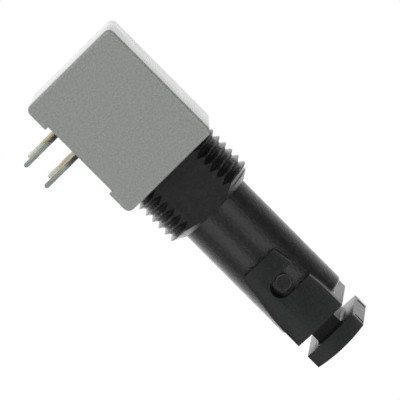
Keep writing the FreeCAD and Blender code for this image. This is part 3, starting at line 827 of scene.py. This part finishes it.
def pin(number):
    low, high = box_mm(f"board_pin_{number}")
    centre = (low + high) / 2
    steps, stations = 20, 60
    points = []
    for i in range(stations + 1):
        z = low.z + (high.z - low.z) * (i / stations) ** 1.3
        to_round = min(1.0, (z - low.z) / TIP_ROUND)
        tip = max(TIP_FLAT, sqrt(1 - (1 - to_round) ** 2))
        wave = 1 - 0.02 * (1 + sin(z * 5.3 + number * 2.1) * cos(z * 2.2 + number))
        radius = (ROOT_RADIUS if z > ROOT_START else PIN_RADIUS * tip) * wave
        for turn in round_steps(steps):
            ripple = radius * (1 - 0.012 * (1 + sin(2 * turn + z * 3 + number)))
            points.append((centre.x + ripple * cos(turn), centre.y + ripple * sin(turn), z))
    piece = new_piece(f"pin_{number}", points, skin(stations + 1, steps))
    return finish_piece(piece, "module", f"board_pin_{number}", tinned_pin)


PIN_NUMBERS = (1, 2, 3, 4)
for number in PIN_NUMBERS:
    pin(number)

# %% [markdown]
# ## The potting
# The resin is poured while the box lies upside down, and it creeps up whatever it wets. So its face is
# flat in the middle and curves out towards the board along the walls and round each pin. A grid of
# heights draws that.

# %% Potting with its menisci
CREEP_HEIGHT = 0.14
WALL_CREEP = 0.35        # how fast the curve fades away from a wall, and from a pin, in mm
PIN_CREEP = 0.25
SWELL = 0.01


def potting_height(x, y, low, high, pins):
    """The resin's underside: lowest along the walls and pins, a little higher in the open."""
    wall = min(x - low.x, high.x - x, y - low.y, high.y - y)
    near = min(sqrt((x - p.x) ** 2 + (y - p.y) ** 2) for p in pins)
    creep = max(exp(-wall / WALL_CREEP), exp(-max(0.0, near - PIN_RADIUS) / PIN_CREEP))
    return max(low.z, low.z + CREEP_HEIGHT * (1 - creep) + SWELL * sin(x * 1.7) * sin(y * 1.3))


def grid_rim(cells):
    """The numbers of a square grid's border points, in order round it."""
    row = cells + 1
    rim = [i * row for i in range(row)] + [cells * row + j for j in range(1, row)]
    return rim + [i * row + cells for i in range(cells - 1, -1, -1)] + list(range(cells - 1, 0, -1))


def potting():
    low, high = box_mm("epoxy_backfill")
    pins = [sum(box_mm(f"board_pin_{n}"), Vector()) / 2 for n in PIN_NUMBERS]
    cells = 72
    row = cells + 1
    top = row * row
    under, over, faces = [], [], []
    for i in range(row):
        for j in range(row):
            x, y = low.x + (high.x - low.x) * i / cells, low.y + (high.y - low.y) * j / cells
            under.append((x, y, potting_height(x, y, low, high, pins)))
            over.append((x, y, high.z))
    for i in range(cells):
        for j in range(cells):
            a = i * row + j
            faces.append((a, a + 1, a + row + 1, a + row))
            faces.append((top + a, top + a + row, top + a + row + 1, top + a + 1))
    rim = grid_rim(cells)
    for a, b in zip(rim, rim[1:] + rim[:1]):
        faces.append((a, b, top + b, top + a))
    piece = new_piece("potting", under + over, faces)
    return finish_piece(piece, "module", "epoxy_backfill", black_epoxy)


potting()

# %% [markdown]
# ## What stays from the CAD
# The sleeve, lens, can and board inside the module already have their true shape in the CAD, so they
# keep it and only change their finish.

# %% Finishes on the CAD nodes
KEPT = {
    "ferrule_sleeve": sleeve_ceramic, "coupling_lens": lens_glass, "can_cap": plated_steel,
    "can_window": lens_glass, "can_header": gold_plate, "glass_seals": seal_glass,
    "header_leads": gold_plate, "chip_submount": sleeve_ceramic, "emitter_chip": chip_crystal,
    "bond_wire": gold_plate, "alignment_ring": black_moulding, "lead_board": board_laminate,
    "solder_fillets": solder,
}
for node, material in KEPT.items():
    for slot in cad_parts[node].material_slots:
        slot.material = material
print(len(KEPT), "CAD nodes keep their shape")

# %% [markdown]
# ## Stage, light and camera
# The object floats over a white sheet with hardly a shadow. The sheet glows by itself where the camera
# sees it, and from below it can't be seen at all, so the underside can be looked at too.

# %% White sheet
SHEET_HALF = 8000.0
SHEET_GAP = 0.02         # between the sheet and the pins' tips


def sheet():
    half, z = SHEET_HALF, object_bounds()[0][2] / MM - SHEET_GAP
    corners = [(-half, -half, z), (half, -half, z), (half, half, z), (-half, half, z)]
    piece = new_piece("floor_sheet", corners, [(0, 1, 2, 3)])
    piece.data.transform(Matrix.Scale(MM, 4))
    material, tree, shader = principled("white_sheet")
    shader.inputs["Base Color"].default_value = (0.8, 0.8, 0.8, 1)
    shader.inputs["Roughness"].default_value = 0.9
    glow = add_node(tree, "ShaderNodeEmission", {"Color": (1, 1, 1, 1), "Strength": 1.0})
    seen = add_node(tree, "ShaderNodeLightPath").outputs["Is Camera Ray"]
    lit = add_node(tree, "ShaderNodeMixShader", {0: seen, 1: shader.outputs[0], 2: glow.outputs[0]})
    below = add_node(tree, "ShaderNodeNewGeometry").outputs["Backfacing"]
    clear = add_node(tree, "ShaderNodeBsdfTransparent")
    mix = add_node(tree, "ShaderNodeMixShader", {0: below, 1: lit.outputs[0], 2: clear.outputs[0]})
    tree.links.new(mix.outputs[0], tree.nodes["Material Output"].inputs["Surface"])
    piece.data.materials.append(material)
    piece.visible_glossy = False
    piece.visible_diffuse = False
    piece.visible_shadow = False
    print(f"sheet at {z:.2f} mm")


sheet()

# %% [markdown]
# A black tube shows whatever stands round it, drawn out along its length. So the light is designed as a
# ring about the port's axis: brightness against the angle up from the side that is looked at. It's
# white behind and dim straight above and below, with one soft strip above the viewer and one below. Area
# lamps could stand round the object instead, but a ring in the world leaves no lamp edges on the tube.

# %% Light round the port's axis
RING = [        # (degrees up from the viewer's side, brightness)
    (-180, 1.65), (-150, 1.6), (-133, 1.35), (-117, 0.95), (-101, 0.55), (-85, 0.3), (-69, 0.42), (-55, 1.0),
    (-44, 1.4), (-34, 1.35), (-21, 0.45), (-5, 0.25), (11, 0.42), (22, 1.1), (30, 1.4), (43, 1.1), (59, 0.3),
    (75, 0.14), (91, 0.2), (107, 0.33), (123, 0.68), (139, 1.0), (155, 1.12), (170, 1.45), (180, 1.65),
]
RING_TOP = 1.7

world = bpy.data.worlds.new("studio")
bpy.context.scene.world = world
world.use_nodes = True
sky = world.node_tree
towards = add_node(sky, "ShaderNodeTexCoord").outputs["Generated"]
parts = add_node(sky, "ShaderNodeSeparateXYZ", {0: towards})
front = add_node(sky, "ShaderNodeMath", {0: parts.outputs["Y"], 1: -1.0}, operation="MULTIPLY").outputs[0]
rise = add_node(sky, "ShaderNodeMath", {0: parts.outputs["Z"], 1: front}, operation="ARCTAN2").outputs[0]
share = add_node(sky, "ShaderNodeMapRange", {"Value": rise, "From Min": -pi, "From Max": pi}).outputs[0]
ring = ramp(sky, share, *[((angle + 180) / 360, (light / RING_TOP,) * 3) for angle, light in RING])
seen = add_node(sky, "ShaderNodeLightPath").outputs["Is Camera Ray"]
white = (1 / RING_TOP, 1 / RING_TOP, 1 / RING_TOP, 1)
shown = add_node(sky, "ShaderNodeMixRGB", {"Fac": seen, "Color1": ring, "Color2": white}).outputs[0]
background = sky.nodes["Background"]
sky.links.new(shown, background.inputs["Color"])
background.inputs["Strength"].default_value = RING_TOP
print(f"light: {len(RING)} stops round the axis, brightest {max(light for _, light in RING)}")

# %% [markdown]
# The ring alone leaves the faces that look along the port dull. So two weak soft boxes stand on the
# viewer's side, one past each end, and light the end faces of the cap and the collar and the box's back.

# %% Soft boxes at the two ends
BOX_SIZE = 0.4           # metres
BOX_DISTANCE = 0.5


def soft_box(name, direction, power):
    """A square soft box that looks at the middle of the object."""
    centre = Vector((12, 0, AXIS_HEIGHT)) * MM
    light = bpy.data.lights.new(name, "AREA")
    light.shape = "SQUARE"
    light.size = BOX_SIZE
    light.energy = power
    lamp = bpy.data.objects.new(name, light)
    bpy.context.scene.collection.objects.link(lamp)
    lamp.location = centre + Vector(direction).normalized() * BOX_DISTANCE
    lamp.rotation_euler = (centre - lamp.location).to_track_quat("-Z", "Y").to_euler()
    print(f"{name}: {power} W")


soft_box("port_end_box", (1.0, -0.9, 0.1), 0.4)
soft_box("rear_end_box", (-1.0, -0.9, 0.1), 0.6)

# %% [markdown]
# The camera looks almost straight at the side of the object, a few degrees from behind the box and a
# few degrees from above, and is rolled so that the port points to the lower right.

# %% Camera
CAMERA_AZIMUTH = -5.0    # degrees, as the two below
CAMERA_RISE = 4.58
CAMERA_ROLL = 45.49
CAMERA_DISTANCE = 309.6  # millimetres, as the target and the lens
CAMERA_TARGET = (11.863, 0.0, 4.740)
CAMERA_LENS = 315.9


def camera():
    side, rise, roll = radians(CAMERA_AZIMUTH), radians(CAMERA_RISE), radians(CAMERA_ROLL)
    back = Vector((sin(side) * cos(rise), -cos(side) * cos(rise), sin(rise)))
    level = (-back).cross(Vector((0, 0, 1))).normalized()
    upright = level.cross(-back)
    right = level * cos(roll) + upright * sin(roll)
    up = upright * cos(roll) - level * sin(roll)
    eye = (Vector(CAMERA_TARGET) + back * CAMERA_DISTANCE) * MM
    data = bpy.data.cameras.new("camera")
    data.lens = CAMERA_LENS
    data.clip_start = 0.01
    data.clip_end = 100
    view = bpy.data.objects.new("camera", data)
    bpy.context.scene.collection.objects.link(view)
    view.matrix_world = Matrix.Translation(eye) @ Matrix((right, up, back)).transposed().to_4x4()
    bpy.context.scene.camera = view
    print(f"camera {CAMERA_DISTANCE} mm from the object, rolled {CAMERA_ROLL} degrees")


camera()
bpy.context.scene.view_settings.view_transform = "Standard"
